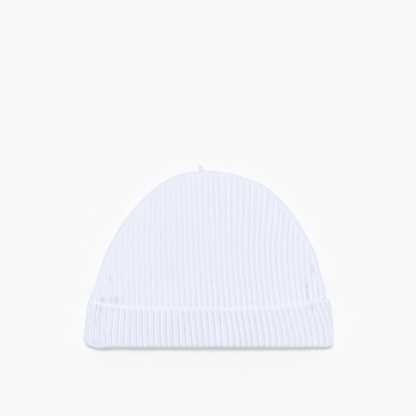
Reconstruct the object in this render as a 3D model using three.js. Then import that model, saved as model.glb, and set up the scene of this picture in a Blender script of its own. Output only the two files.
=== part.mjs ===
// A baby's nightcap of white ribbed cotton, lying flat on its back.
// Millimetres. x runs across the brim, y from the brim's fold to the crown's top, z up from the surface.
// The crown is a front and a back panel with a sewn seam between their edges, and a thread chain ends the
// seam at the top. The cuff is the cloth turned up round the brim, with its fold as the cap's lower edge.
import * as THREE from "three";

// Driving sizes
const HAT_WIDTH = 170; // across the cuff
const CROWN_HEIGHT = 120; // from the brim's fold to the crown's top
const CUFF_HEIGHT = 26.8; // turned-up band, at the middle
const CUFF_RISE_LEFT = 4.8; // how much higher the band's edge runs at its left end
const CUFF_RISE_RIGHT = 6.0; // and at its right end
const HOLLOW_HEIGHT = 5.8; // room for the head at the middle of the brim, as the cap lies
const PANEL_WALL = 1.5; // ribbed cloth
const CUFF_WALL = 2.2; // doubled cloth
const CUFF_PINCH = 1.0; // how much thinner the band's cloth is pressed at its upper left corner
const LAYER_GAP = 0.5; // air between the cuff and the crown inside it
const SEWN_GAP = 0.3; // between pieces that are sewn together
const SEAM_THICKNESS = 1.0; // the two raw edges, bound in thread
const SEAM_ALLOWANCE = 4.0; // how far the bound edges reach into the cap
const SEAM_INSET = 0.4; // how far the seam lies inside the panels' edges
const SEAM_ROOM = 2.1; // from the inside of the back panel up to the seam's middle
const LEFT_CORNER = 6.5; // rounding of the brim's left corner, seen from above
const RIGHT_CORNER = 2; // and of its right corner
const HEM_TUCK = 1.6; // straight cloth inside the brim's fold, before the panels start
const SETTLE_LENGTH = 22; // over which the crown's back comes down from the cuff to the surface
const SEAM_SETTLE_LENGTH = 45; // over which the seam comes down with it
const RIB_PITCH = 3.9; // across one rib of the crown and its groove, at the brim
const CUFF_RIB_PITCH = 4.13; // and of the cuff, which is stretched wider
const RIB_DEPTH = 0.5;
const GROOVE_SHARE = 0.34; // of a rib's pitch
const THREAD_DIAMETER = 0.8; // thread chain at the crown's top
const THREAD_LENGTH = 5.2;
const THREAD_WIDTH = 2.2; // across the chain's loop
const THREAD_ACROSS = -0.04; // where it leaves the seam, as a share of the half width
const THREAD_LEAN = THREE.MathUtils.degToRad(30); // to the left

// Shape of the crown's outline, a rounded arch: (x/W)^SIDE_POWER + (y/H)^TOP_POWER = 1
const SIDE_POWER = 2.2;
const TOP_POWER_LEFT = 1.88;
const TOP_POWER_RIGHT = 2.08;
// The cloth swells from its edge to its middle as the root of 1 - q^SWELL: the more, the flatter
const FRONT_SWELL = 1.5;
const BACK_SWELL = 6; // the back is pressed flat on the surface
const CORNER_POWER = 8; // keeps the brim's rounded corners near its ends
const PLAIN_RIM = 0.08; // share of the reach at the crown's edge over which the ribs fade out
const RIBS_PARALLEL_FROM = 0.28; // share of the crown's height above which the ribs no longer close in
const CUFF_EDGE_POWER = 3; // how late along the cuff its edge starts to rise
const FOLD_LEAN = 0.09; // how far the cuff's ribs lean to the left at its fold, as a slope
const EDGE_LEAN = 0.11; // at the middle of its upper edge
const EDGE_FAN = 0.17; // and what is added there toward the right end

// How full the outline is against that arch, by direction from the brim's middle: 0 along the brim, 90 up
const fullness = [
  { turn: 0, left: 1.0, right: 1.004 },
  { turn: 17, left: 0.998, right: 1.004 },
  { turn: 22, left: 1.016, right: 1.006 },
  { turn: 27, left: 1.003, right: 1.01 },
  { turn: 34, left: 0.997, right: 1.009 },
  { turn: 41, left: 0.999, right: 1.018 },
  { turn: 50, left: 0.995, right: 1.008 },
  { turn: 61, left: 0.989, right: 1.008 },
  { turn: 70, left: 0.992, right: 1.008 },
  { turn: 79, left: 1.001, right: 0.998 },
  { turn: 90, left: 0.998, right: 0.998 },
];

// How the crown's ribs sway, as shares of the half width: all together, fanned, and at the sides
const sway = [
  { up: 0, shift: 0, fan: 0, sides: 0 },
  { up: 0.27, shift: 0, fan: 0, sides: 0 },
  { up: 0.375, shift: -0.0115, fan: -0.014, sides: 0 },
  { up: 0.5, shift: -0.022, fan: -0.024, sides: -0.004 },
  { up: 0.58, shift: -0.026, fan: -0.022, sides: 0 },
  { up: 0.75, shift: -0.035, fan: -0.006, sides: 0.11 },
  { up: 0.9, shift: -0.044, fan: 0.008, sides: 0.2 },
  { up: 1, shift: -0.048, fan: 0.012, sides: 0.22 },
];

// Dents in the front: place, length and width as shares of the half width, depth of the hollow's height
const dents = [
  { across: 0.86, up: 0.405, turn: -21, long: 0.15, wide: 0.032, depth: 0.17 }, // crease at the right
  { across: 0.825, up: 0.3, turn: 0, long: 0.1, wide: 0.03, depth: 0.12 }, // its foot, at the cuff
  { across: -0.82, up: 0.27, turn: 80, long: 0.12, wide: 0.05, depth: 0.17 }, // tuck at the cuff's left
  { across: -0.79, up: 0.375, turn: 5, long: 0.08, wide: 0.025, depth: 0.09 }, // crease above it
  { across: -0.46, up: 0.285, turn: 0, long: 0.05, wide: 0.04, depth: 0.08 }, // small tuck behind the cuff
  { across: 0.58, up: 0.66, turn: -20, long: 0.3, wide: 0.12, depth: -0.07 }, // soft swell, upper right
  { across: -0.3, up: 0.6, turn: 30, long: 0.35, wide: 0.14, depth: 0.06 }, // shallow hollow, upper left
];

// How the brim's fold sags below its line, where the seam is folded into it
const hemSags = [
  { across: -0.9, wide: 0.06, drop: 0.35 }, // drop as a share of the fold's radius
  { across: 0.97, wide: 0.04, drop: 0.12 },
];

// Sizes worked out
const layers = LAYER_GAP + CUFF_WALL;
const halfWidth = HAT_WIDTH / 2 - layers;
const foldRadius = (layers + PANEL_WALL) / 2;
const tuckTop = foldRadius + HEM_TUCK;
const panelBase = tuckTop + SEWN_GAP;
const cuffTopMost = CUFF_HEIGHT + Math.max(CUFF_RISE_LEFT, CUFF_RISE_RIGHT);
const seamLift = PANEL_WALL + SEAM_ROOM;
const rimLift = SEAM_THICKNESS / 2 + SEWN_GAP;
const frontLevel = layers + 2 * PANEL_WALL + HOLLOW_HEIGHT;
const ribCount = Math.round((2 * halfWidth) / RIB_PITCH);

const { clamp, lerp, smoothstep, degToRad } = THREE.MathUtils;

// A column of a table as a smooth curve through its rows
function curve(table, key, column) {
  const places = table.map((row) => row[key]);
  const values = table.map((row) => row[column]);
  const cubic = new THREE.CubicInterpolant(places, values, 1);
  return (at) => cubic.evaluate(clamp(at, places[0], places.at(-1)))[0];
}

const fullLeft = curve(fullness, "turn", "left");
const fullRight = curve(fullness, "turn", "right");
const swayShift = curve(sway, "up", "shift");
const swayFan = curve(sway, "up", "fan");
const swaySides = curve(sway, "up", "sides");

// How full the outline is in the direction of (x, y)
function fullAt(x, y) {
  const turn = THREE.MathUtils.radToDeg(Math.atan2(y, Math.abs(x)));
  return x < 0 ? fullLeft(turn) : fullRight(turn);
}

// How far out (x, y) lies: 0 at the brim's middle, 1 on the crown's outline
function reach(x, y) {
  const power = x < 0 ? TOP_POWER_LEFT : TOP_POWER_RIGHT;
  const full = fullAt(x, y);
  return (Math.abs(x) / (halfWidth * full)) ** SIDE_POWER + (y / (CROWN_HEIGHT * full)) ** power;
}

// The place between an inner and an outer value where a growing function passes 1
function crossing(measure, inner, outer) {
  for (let step = 0; step < 40; step++) {
    const middle = (inner + outer) / 2;
    if (measure(middle) < 1) inner = middle;
    else outer = middle;
  }
  return inner;
}

// Half width of the crown's outline at a height, on the left (-1) or the right (1)
const outlineX = (side, y) => crossing((x) => reach(side * x, y), 0, 1.1 * halfWidth);

// Height of what the crown's back lies on: the cuff at the brim, and the surface above it
const propped = (y, length) => layers * (1 - smoothstep(y, cuffTopMost, cuffTopMost + length));
const backLevel = (y) => propped(y, SETTLE_LENGTH);
const seamLevel = (y) => propped(y, SEAM_SETTLE_LENGTH) + seamLift;
const swell = (q, power) => Math.sqrt(Math.max(0, 1 - q ** power));

function dent(x, y) {
  let depth = 0;
  for (const d of dents) {
    const [dx, dy] = [x - d.across * halfWidth, y - d.up * CROWN_HEIGHT];
    const turn = degToRad(d.turn);
    const along = (dy * Math.cos(turn) - dx * Math.sin(turn)) / (d.long * halfWidth);
    const beside = (dx * Math.cos(turn) + dy * Math.sin(turn)) / (d.wide * halfWidth);
    depth += d.depth * HOLLOW_HEIGHT * Math.exp(-along * along - beside * beside);
  }
  return depth;
}

// Height of the front's or the back's face, moved outward by offset, where the reach is q
function frontZ(x, y, q, offset) {
  return lerp(seamLevel(y) + rimLift, frontLevel + offset - dent(x, y), swell(q, FRONT_SWELL));
}
function backZ(x, y, q, offset) {
  return lerp(seamLevel(y) - rimLift, backLevel(y) - offset, swell(q, BACK_SWELL));
}

// The brim's corners are rounded by drawing in the ends of its lowest rows
function cornerCut(x, y) {
  const radius = x < 0 ? LEFT_CORNER : RIGHT_CORNER;
  const below = Math.max(0, radius - y);
  const cut = radius - Math.sqrt(radius * radius - below * below);
  return Math.sign(x) * cut * (Math.abs(x) / halfWidth) ** CORNER_POWER;
}

// A point of the crown's skin above (x, y), moved outward by offset
function crownPoint(x, y, offset, faceZ) {
  const q = reach(x, y);
  return new THREE.Vector3(
    x * (1 + offset / halfWidth) - cornerCut(x, y),
    panelBase + (y - panelBase) * (1 + offset / (CROWN_HEIGHT - panelBase)),
    faceZ(x, y, q, offset),
  );
}

// Path of a rib, from -1 at the left seam to 1 at the right: its x at a height
function ribX(rib, y) {
  const side = Math.sign(rib) || 1;
  const width = outlineX(side, Math.min(y, RIBS_PARALLEL_FROM * CROWN_HEIGHT));
  const up = y / CROWN_HEIGHT;
  const swayed = swayShift(up) + (1 - rib * rib) * (swayFan(up) * rib + swaySides(up) * rib * rib);
  return Math.abs(rib) * side * width + swayed * halfWidth;
}

// The columns of a ribbed skin: each rib has a flat top between two edges, and a groove between ribs
function ribColumns(count) {
  const edge = GROOVE_SHARE / 2;
  const columns = [];
  for (let rib = 0; rib < count; rib++) {
    columns.push({ at: rib, depth: RIB_DEPTH });
    columns.push({ at: rib + edge, depth: 0 });
    columns.push({ at: rib + 1 - edge, depth: 0 });
  }
  return columns;
}

// The places of a plain skin's columns: one for each rib, and more toward the sides, where the edge is steep
function plainPlaces(count) {
  const ribs = Array.from({ length: count + 1 }, (_, rib) => rib);
  const between = [0.3, 0.65, 1.4];
  return [...ribs, ...between, ...between.map((place) => count - place)].sort((a, b) => a - b);
}

// A closed skin, put together from rows of points
class Skin {
  points = [];
  faces = [];

  // Adds a row with a point for each column
  row(columns, pointOf) {
    return columns.map((column) => {
      const index = this.points.push(pointOf(column)) - 1;
      return { ...column, index };
    });
  }

  // Fills the band between two rows, always stepping to the next point along either of them
  band(low, high, along = "at") {
    let [i, j] = [0, 0];
    while (i < low.length - 1 || j < high.length - 1) {
      const [nextLow, nextHigh] = [low[i + 1], high[j + 1]];
      if (!nextHigh || nextLow?.[along] <= nextHigh[along]) {
        this.faces.push(low[i].index, nextLow.index, high[j].index);
        i++;
      } else {
        this.faces.push(low[i].index, nextHigh.index, high[j].index);
        j++;
      }
    }
  }

  bands(rows, along) {
    for (let k = 1; k < rows.length; k++) this.band(rows[k - 1], rows[k], along);
  }

  geometry() {
    const made = new THREE.BufferGeometry().setFromPoints(this.points);
    made.setIndex(this.faces);
    made.computeVertexNormals();
    return made;
  }
}

// One panel of the crown: a ribbed outer skin and a plain inner one, each a grid of ribs by heights
function panelGeometry(faceZ, direction, outerHeights) {
  const parallelFrom = RIBS_PARALLEL_FROM * CROWN_HEIGHT;
  const ribOf = ({ at }) => direction * ((2 * at) / ribCount - 1);
  const topOf = (rib) => crossing((y) => reach(ribX(rib, y), y), 0.98 * parallelFrom, 1.05 * CROWN_HEIGHT);
  const skin = new Skin();
  const grid = (columns, heights, offset) => {
    const tops = columns.map((column) => ({ ...column, rib: ribOf(column), top: topOf(ribOf(column)) }));
    return heights.map((height) =>
      skin.row(tops, ({ rib, top, depth }) => {
        const y = lerp(panelBase, top, height);
        const x = ribX(rib, y);
        const inside = smoothstep(1 - reach(x, y), 0, PLAIN_RIM);
        return crownPoint(x, y, offset - depth * inside, faceZ);
      }),
    );
  };
  const [first, ...others] = ribColumns(ribCount);
  const outer = grid([{ ...first, depth: 0 }, ...others, { at: ribCount, depth: 0 }], outerHeights, 0);
  const plainColumns = plainPlaces(ribCount).map((at) => ({ at, depth: 0 }));
  const innerHeights = [0, 0.35, 0.7, 0.92, 1];
  const inner = grid(plainColumns, innerHeights, -PANEL_WALL);
  const side = (rows, heights, end) => rows.map((row, k) => ({ at: heights[k], index: row.at(end).index }));
  skin.bands(outer);
  skin.bands([...inner].reverse());
  skin.band(inner[0], outer[0]);
  skin.band(outer.at(-1), inner.at(-1));
  skin.band(side(outer, outerHeights, 0), side(inner, innerHeights, 0));
  skin.band(side(inner, innerHeights, -1), side(outer, outerHeights, -1));
  return skin.geometry();
}

// A point of the brim's loop at a height, moved outward by offset. The loop's places run from the left tip
// over the front (front = 1) to the right tip and back below (front = 0).
function loopPoint({ share, front }, y, offset) {
  const x = share * outlineX(Math.sign(share) || 1, Math.max(0, y));
  const q = reach(x, y);
  const fold = Math.max(0, 1 - y / foldRadius);
  const sag = hemSags.reduce((sum, s) => sum + s.drop * Math.exp(-(((share - s.across) / s.wide) ** 2)), 0);
  return new THREE.Vector3(
    x * (1 + offset / halfWidth) - cornerCut(x, y),
    y - sag * foldRadius * fold,
    lerp(backZ(x, y, q, offset), frontZ(x, y, q, offset), front),
  );
}

// The places of the brim's loop, closer together toward its tips, each with the length of cloth up to it
function brimLoop(steps) {
  const turns = Array.from({ length: steps + 1 }, (_, step) => ({ step, turn: (Math.PI * step) / steps }));
  const over = turns.map(({ step, turn }) => ({ step, share: -Math.cos(turn), front: 1 }));
  const below = turns.map(({ step, turn }) => ({ step, share: Math.cos(turn), front: 0 }));
  let length = 0;
  let before = null;
  return [...over, ...below, over[0]].map((place) => {
    const point = loopPoint(place, CUFF_HEIGHT / 2, layers);
    length += before ? point.distanceTo(before) : 0;
    before = point;
    return { ...place, length };
  });
}

// The place on the loop at a length of cloth from the left tip
function placeAt(loop, length) {
  const round = loop.at(-1).length;
  const wanted = ((length % round) + round) % round;
  const next = Math.max(1, loop.findIndex((place) => place.length >= wanted));
  const [low, high] = [loop[next - 1], loop[next]];
  const part = (wanted - low.length) / (high.length - low.length);
  return { share: lerp(low.share, high.share, part), front: lerp(low.front, high.front, part) };
}

// How far the cuff's outer face is pressed in toward its upper left corner
function pinch(share, height) {
  const top = cuffTop(share);
  return CUFF_PINCH * smoothstep(-share, 0.8, 0.98) * smoothstep(height, top - 9, top - 1);
}

// The cuff's upper edge
function cuffTop(share) {
  const rise = share < 0 ? CUFF_RISE_LEFT : CUFF_RISE_RIGHT;
  return CUFF_HEIGHT + rise * Math.abs(share) ** CUFF_EDGE_POWER;
}

// The brim's fold, as a turn from 0 inside the cap to 180 outside
function foldAt(degrees) {
  const turn = degToRad(degrees);
  const offset = (layers - PANEL_WALL) / 2 - foldRadius * Math.cos(turn);
  return { offset, y: () => foldRadius * (1 - Math.sin(turn)), depth: 1 };
}

// The cuff: one section of cloth carried round the brim. Its ribs lean, so they shift with the height.
function cuffGeometry() {
  const [steps, plainStep] = [420, 15];
  const loop = brimLoop(steps);
  const length = loop.at(-1).length;
  const count = Math.round(length / CUFF_RIB_PITCH);
  const edge = CUFF_WALL / 2;
  const skin = new Skin();
  const close = (row) => [...row, { ...row[0], at: count, length: row[0].length + length }];
  const ribRow = ({ offset, y, depth }) => {
    const columns = ribColumns(count).map((column) => {
      const start = (column.at / count) * length;
      const { share } = placeAt(loop, start);
      const height = y(cuffTop(share));
      const moreLean = EDGE_LEAN + EDGE_FAN * share - FOLD_LEAN;
      const lean = -FOLD_LEAN * height - (moreLean * height * height) / (2 * CUFF_HEIGHT);
      return { ...column, length: start + lean, height, pressed: pinch(share, height) };
    });
    return skin.row(columns, (column) => {
      const inward = depth * column.depth + column.pressed;
      return loopPoint(placeAt(loop, column.length), column.height, offset - inward);
    });
  };
  const plainColumns = loop.slice(0, -1).filter((place) => place.step % plainStep === 0);
  const plainRow = ({ offset, y }) =>
    skin.row(plainColumns, (column) => loopPoint(column, y(cuffTop(column.share)), offset));
  const outside = [
    foldAt(40),
    foldAt(90),
    foldAt(140),
    foldAt(180),
    { offset: layers, y: (top) => lerp(foldRadius, top, 0.25), depth: 1 },
    { offset: layers, y: (top) => lerp(foldRadius, top, 0.6), depth: 1 },
    { offset: layers, y: (top) => top - edge, depth: 1 },
    { offset: layers - edge, y: (top) => top, depth: 0.5 },
  ];
  const inside = [
    { offset: LAYER_GAP, y: (top) => top - edge },
    { offset: LAYER_GAP, y: (top) => lerp(foldRadius, top, 0.6) },
    { offset: LAYER_GAP, y: (top) => lerp(foldRadius, top, 0.28) },
    { offset: LAYER_GAP, y: (top) => lerp(foldRadius, top, 0.11) },
    { offset: LAYER_GAP, y: () => foldRadius },
    { offset: 0, y: () => foldRadius },
    { offset: 0, y: () => tuckTop },
    { offset: -PANEL_WALL, y: () => tuckTop },
    { offset: -PANEL_WALL, y: () => foldRadius },
  ];
  const ribbed = outside.map(ribRow).map(close);
  const plain = inside.map(plainRow).map(close);
  skin.bands(ribbed);
  skin.bands([ribbed.at(-1), ...plain, ribbed[0]], "length");
  return skin.geometry();
}

// A point of the crown's outline, moved inward, for an angle from 0 at the right to pi at the left
function outlinePoint(angle, inward, z) {
  const [cos, sin] = [Math.cos(angle), Math.sin(angle)];
  const power = cos < 0 ? TOP_POWER_LEFT : TOP_POWER_RIGHT;
  const x = Math.sign(cos) * Math.abs(cos) ** (2 / SIDE_POWER) * halfWidth;
  const y = sin ** (2 / power) * CROWN_HEIGHT;
  const full = fullAt(x, y);
  const [ox, oy] = [x * full, y * full];
  return new THREE.Vector3(
    ox * (1 - inward / halfWidth) - cornerCut(ox, oy),
    panelBase + (oy - panelBase) * (1 - inward / (CROWN_HEIGHT - panelBase)),
    seamLevel(oy) + z,
  );
}

// The bound seam allowance: a flat strip that follows the outline between the two panels
function seamGeometry() {
  const steps = 80;
  const start = (power) => Math.asin((panelBase / CROWN_HEIGHT) ** (power / 2));
  const [right, left] = [start(TOP_POWER_RIGHT), Math.PI - start(TOP_POWER_LEFT)];
  const half = SEAM_THICKNESS / 2;
  const section = [
    [SEAM_INSET, -half],
    [SEAM_INSET, half],
    [SEAM_ALLOWANCE, half],
    [SEAM_ALLOWANCE, -half],
  ];
  const skin = new Skin();
  const corners = section.map(([inward, z], at) => ({ inward, z, at }));
  const rings = Array.from({ length: steps + 1 }, (_, k) =>
    skin.row(corners, ({ inward, z }) => outlinePoint(lerp(left, right, k / steps), inward, z)),
  );
  const closed = rings.map((ring) => [...ring, { ...ring[0], at: ring.length }]);
  skin.bands(closed);
  skin.band(rings[0].slice(0, 2).reverse(), rings[0].slice(2));
  skin.band(rings.at(-1).slice(0, 2), rings.at(-1).slice(2).reverse());
  return skin.geometry();
}

// The thread chain at the seam's end: one narrow loop of thread, open at its foot
function threadGeometry() {
  const half = (THREAD_WIDTH - THREAD_DIAMETER) / 2;
  const tip = THREAD_LENGTH - THREAD_DIAMETER / 2;
  const path = new THREE.CatmullRomCurve3([
    new THREE.Vector3(-half * 0.75, 0, 0),
    new THREE.Vector3(-half, tip * 0.45, 0),
    new THREE.Vector3(-half * 0.75, tip * 0.85, 0),
    new THREE.Vector3(0, tip, 0),
    new THREE.Vector3(half * 0.75, tip * 0.85, 0),
    new THREE.Vector3(half, tip * 0.45, 0),
    new THREE.Vector3(half * 0.75, 0, 0),
  ]);
  const section = new THREE.Shape().absarc(0, 0, THREAD_DIAMETER / 2, 0, 2 * Math.PI);
  return new THREE.ExtrudeGeometry(section, { steps: 18, curveSegments: 4, extrudePath: path });
}

const cloth = { color: 0xe9ecf8, roughness: 0.95, metalness: 0 };
const thread = { color: 0xe4e4e4, roughness: 0.8, metalness: 0 };

function piece(name, geometry, finish) {
  const mesh = new THREE.Mesh(geometry, new THREE.MeshStandardMaterial(finish));
  mesh.name = name;
  return mesh;
}

const frontHeights = [0, 0.17, 0.27, 0.38, 0.5, 0.63, 0.76, 0.87, 0.95, 0.985, 1];
const backHeights = [0, 0.22, 0.4, 0.65, 0.87, 0.95, 0.985, 1];

const seamTail = piece("seam_tail", threadGeometry(), thread);
const tailX = THREAD_ACROSS * halfWidth;
const tailY = crossing((y) => reach(tailX, y), CROWN_HEIGHT / 2, 1.05 * CROWN_HEIGHT);
const tailFoot = tailY - SEAM_INSET + SEWN_GAP + (THREAD_WIDTH / 2) * Math.sin(THREAD_LEAN);
seamTail.position.set(tailX, tailFoot, seamLevel(tailY));
seamTail.rotation.z = THREAD_LEAN;

const nightcap = new THREE.Group();
nightcap.add(
  piece("front_panel", panelGeometry(frontZ, 1, frontHeights), cloth),
  piece("back_panel", panelGeometry(backZ, -1, backHeights), cloth),
  piece("crown_seam", seamGeometry(), thread),
  piece("cuff", cuffGeometry(), cloth),
  seamTail,
);

// The origin is the middle of the cap's box, on the surface that it lies on
const box = new THREE.Box3().setFromObject(nightcap, true);
const middle = box.getCenter(new THREE.Vector3());
nightcap.position.set(-middle.x, -middle.y, -box.min.z);

export default nightcap;
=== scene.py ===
# %% [markdown]
# A baby's nightcap of white ribbed cotton, laid flat on its back and seen from straight above. The cap has
# a rounded crown sewn from two ribbed panels, a turned-up cuff, and a short thread chain where the crown's
# seam ends. The CAD model gives every piece its place and size. Here each piece is worked out again with
# the detail of real cloth, in metres, in the same frame: x across the brim, y up the crown, z off the table.

import bmesh
import bpy
import numpy as np
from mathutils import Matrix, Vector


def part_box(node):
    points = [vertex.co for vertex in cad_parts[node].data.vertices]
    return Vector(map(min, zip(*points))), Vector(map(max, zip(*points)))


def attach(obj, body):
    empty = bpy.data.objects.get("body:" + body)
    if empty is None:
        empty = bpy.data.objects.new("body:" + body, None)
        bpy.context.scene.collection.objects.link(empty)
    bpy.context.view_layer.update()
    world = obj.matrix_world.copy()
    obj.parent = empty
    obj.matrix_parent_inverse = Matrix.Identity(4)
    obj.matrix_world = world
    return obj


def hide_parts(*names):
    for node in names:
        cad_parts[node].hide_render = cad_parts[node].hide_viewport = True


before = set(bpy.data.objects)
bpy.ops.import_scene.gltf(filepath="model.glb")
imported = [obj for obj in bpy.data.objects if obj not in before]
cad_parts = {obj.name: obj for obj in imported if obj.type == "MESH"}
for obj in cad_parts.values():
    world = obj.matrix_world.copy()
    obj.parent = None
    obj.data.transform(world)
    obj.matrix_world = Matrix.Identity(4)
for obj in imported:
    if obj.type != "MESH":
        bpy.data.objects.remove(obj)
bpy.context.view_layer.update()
MM = 0.001
print("solids in the frame:", sorted(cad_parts))

# %% [markdown]
# The cap's own measures come from the boxes of its solids. The brim's fold is the line that the cuff turns
# up from, and every height up the cap is counted from it. The crown's half width is where its seam lies.

# %% Sizes taken from the frame
crown_low, crown_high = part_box("front_panel")
cuff_low, cuff_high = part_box("cuff")
seam_low, seam_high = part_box("crown_seam")

HAT_WIDTH = 170 * MM  # across the cuff
CROWN_HEIGHT = 120 * MM
CUFF_HEIGHT = 26.8 * MM
CUFF_RISE = (4.8 * MM, 6.0 * MM)  # how much higher its edge runs at the left and the right end
PANEL_WALL = 1.5 * MM
LAYER_GAP = 0.5 * MM  # air between the cuff and the crown
SEAM_THICKNESS = 1.0 * MM

front_level = crown_high.z
layers = cuff_high.z - crown_high.z
half_width = HAT_WIDTH / 2 - layers
fold_y = crown_high.y - CROWN_HEIGHT
panel_base = crown_low.y - fold_y
cuff_wall = layers - LAYER_GAP
seam_levels = (seam_low.z + SEAM_THICKNESS / 2, seam_high.z - SEAM_THICKNESS / 2)
fold_radius = (layers + PANEL_WALL) / 2
cuff_top_most = CUFF_HEIGHT + max(CUFF_RISE)
print("half width", round(half_width / MM, 2), "layers", round(layers / MM, 2), "mm")
print("the seam lies", [round(z / MM, 2) for z in seam_levels], "mm off the table")

# %% [markdown]
# The photograph was taken from straight above, so the camera looks down without a turn, and the picture's
# up is the cap's y. One pixel covers 0.68 mm of the cap. A long lens from far away keeps the sides upright.

# %% Camera
PICTURE = 416  # pixels each way
PIXEL = 0.68 * MM
CAP_PIXEL = (208.45, 347.3)  # where the picture shows the middle of the cap's width, on the brim's fold
CAMERA_HEIGHT = 1.6

camera = bpy.data.objects.new("camera", bpy.data.cameras.new("camera"))
bpy.context.scene.collection.objects.link(camera)
bpy.context.scene.camera = camera
camera.location = (
    (cuff_low.x + cuff_high.x) / 2 + (PICTURE / 2 - CAP_PIXEL[0]) * PIXEL,
    fold_y + (CAP_PIXEL[1] - PICTURE / 2) * PIXEL,
    CAMERA_HEIGHT,
)
camera.data.lens = camera.data.sensor_width * (CAMERA_HEIGHT - front_level) / (PICTURE * PIXEL)
print("lens", round(camera.data.lens), "mm")


# %% [markdown]
# Four small tools serve every shape below. The first eases from 0 to 1, and the second does so and comes
# down again. The third reads a short table along a smooth curve, so a shape can follow a few chosen rows
# without a kink. The fourth finds where a growing function passes 1, for all its points at once, by halving
# the stretch in which it can lie.

# %% Tools for shapes


def eased(value, low, high):
    """0 below low, 1 above high, and 3t^2 - 2t^3 between them."""
    t = np.clip((value - low) / (high - low), 0, 1)
    return t * t * (3 - 2 * t)


def band(value, rise, fall):
    """0, up to 1 over the stretch rise, and down to 0 again over the stretch fall."""
    return eased(value, *rise) * (1 - eased(value, *fall))


def read(table, column, at):
    """A table's column at a place in its first column, on a cubic that has its neighbours' mean slope."""
    places = np.array(table[next(iter(table))], float)
    values = np.array(table[column], float)
    slopes = np.gradient(values, places)
    i = np.clip(np.searchsorted(places, at, side="right") - 1, 0, len(places) - 2)
    gap = places[i + 1] - places[i]
    t = np.clip((at - places[i]) / gap, 0, 1)
    rise = values[i + 1] - values[i]
    ease = t * t * (3 - 2 * t)
    bend = t * (1 - t) * ((1 - t) * slopes[i] - t * slopes[i + 1]) * gap
    return values[i] + rise * ease + bend


HALVINGS = 34


def crossing(measure, inner, outer):
    """Where measure passes 1 between inner and outer, by halving the stretch between them."""
    inner = np.array(inner, float)
    outer = np.array(outer, float) + 0 * inner
    for _ in range(HALVINGS):
        middle = (inner + outer) / 2
        below = measure(middle) < 1
        inner = np.where(below, middle, inner)
        outer = np.where(below, outer, middle)
    return inner


# %% [markdown]
# Laid flat, the crown's seam draws a rounded arch: (x / half width)^2.2 + (y / height)^p = 1. The left side
# is a little rounder than the right, so each side has its own p, and a table of directions from the brim's
# middle lets the arch out or takes it in by up to two parts in a hundred, as the sewn cloth does.

# %% The crown's outline
SIDE_POWER = 2.2
TOP_POWER = (1.88, 2.08)  # left and right
FULLNESS = {
    "turn": (0, 17, 22, 27, 34, 41, 50, 61, 70, 79, 90),
    "left": (1.0, 0.998, 1.016, 1.003, 0.997, 0.999, 0.995, 0.989, 0.992, 1.001, 0.998),
    "right": (1.004, 1.004, 1.006, 1.01, 1.009, 1.018, 1.008, 1.008, 1.008, 0.998, 0.998),
}


def reach(x, y):
    """How far out a place lies: 0 at the brim's middle, and 1 on the outline."""
    y = np.maximum(y, 0)
    turn = np.degrees(np.arctan2(y, np.abs(x)))
    full = np.where(x < 0, read(FULLNESS, "left", turn), read(FULLNESS, "right", turn))
    power = np.where(x < 0, *TOP_POWER)
    return (np.abs(x) / (half_width * full)) ** SIDE_POWER + (y / (CROWN_HEIGHT * full)) ** power


def outline_x(side, y):
    """Half width of the outline at a height, on the left (-1) or the right (1)."""
    y = np.asarray(y, float)
    return crossing(lambda x: reach(side * x, y), np.zeros(y.shape), 1.1 * half_width)


def edge_distance(x, y):
    """About how far inside the outline a place lies: (1 - reach) over the reach's slope."""
    step = 0.1 * MM
    across = (reach(x + step, y) - reach(x - step, y)) / (2 * step)
    up = (reach(x, y + step) - reach(x, y - step)) / (2 * step)
    return (1 - reach(x, y)) / np.maximum(np.hypot(across, up), 1)


CORNER = (6.5 * MM, 2 * MM)  # rounding of the brim's two corners, seen from above
CORNER_POWER = 8


def corner_cut(x, y):
    """The brim's corners are round: its ends are drawn in by a quarter circle's sag, most at the very end."""
    radius = np.where(x < 0, *CORNER)
    below = np.clip(radius - y, 0, radius)
    cut = radius - np.sqrt(radius**2 - below**2)
    return np.sign(x) * cut * (np.abs(x) / half_width) ** CORNER_POWER


levels = np.linspace(panel_base, CUFF_HEIGHT / 2, 60)
left_end = ((1 + layers / half_width) * outline_x(-1, levels) - np.abs(corner_cut(-half_width, levels))).max()
middle_x = cuff_low.x + left_end
print("the brim's middle lies at", round(middle_x / MM, 2), "mm, its left end at", round(-left_end / MM, 2))

# %% [markdown]
# Seen from the side, the cloth swells from its sewn edge to its middle. The swell is the root of
# 1 - reach^p: upright at the edge, flatter and flatter inward, and flattest on the back, which the table
# presses. At the brim the whole crown lies on the cuff's back, and above the cuff it settles on the table.

# %% Heights above the table
FRONT_SWELL = 1.5
BACK_SWELL = 6
SETTLE_LENGTH = 22 * MM
SEAM_SETTLE_LENGTH = 45 * MM
SEAM_GAP = 0.1 * MM  # between the rolled edges of the two panels
rim_lift = (PANEL_WALL + SEAM_GAP) / 2


def propped(y, length):
    """Height of the cuff's back under the cap, easing to the table over a length above the cuff."""
    return layers * (1 - eased(y, cuff_top_most, cuff_top_most + length))


def seam_height(y):
    """Height of the seam: it falls with the cloth under it."""
    return seam_levels[0] + (seam_levels[1] - seam_levels[0]) * propped(y, SEAM_SETTLE_LENGTH) / layers


def swell(q, power):
    """The root of 1 - q^power."""
    return np.sqrt(np.clip(1 - q**power, 0, 1))


# %% [markdown]
# Cloth that was handled and laid down is never even. A few long crossing waves move the front up and down
# by a fraction of a millimetre. Then come the dents that the photograph shows: a forked crease at the
# right that runs down into the cuff, tucks at the left where the crown goes under the cuff, and shallow
# hollows and swells. Each is a smooth pit, exp(-along^2 - beside^2), long one way and narrow the other.

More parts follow.
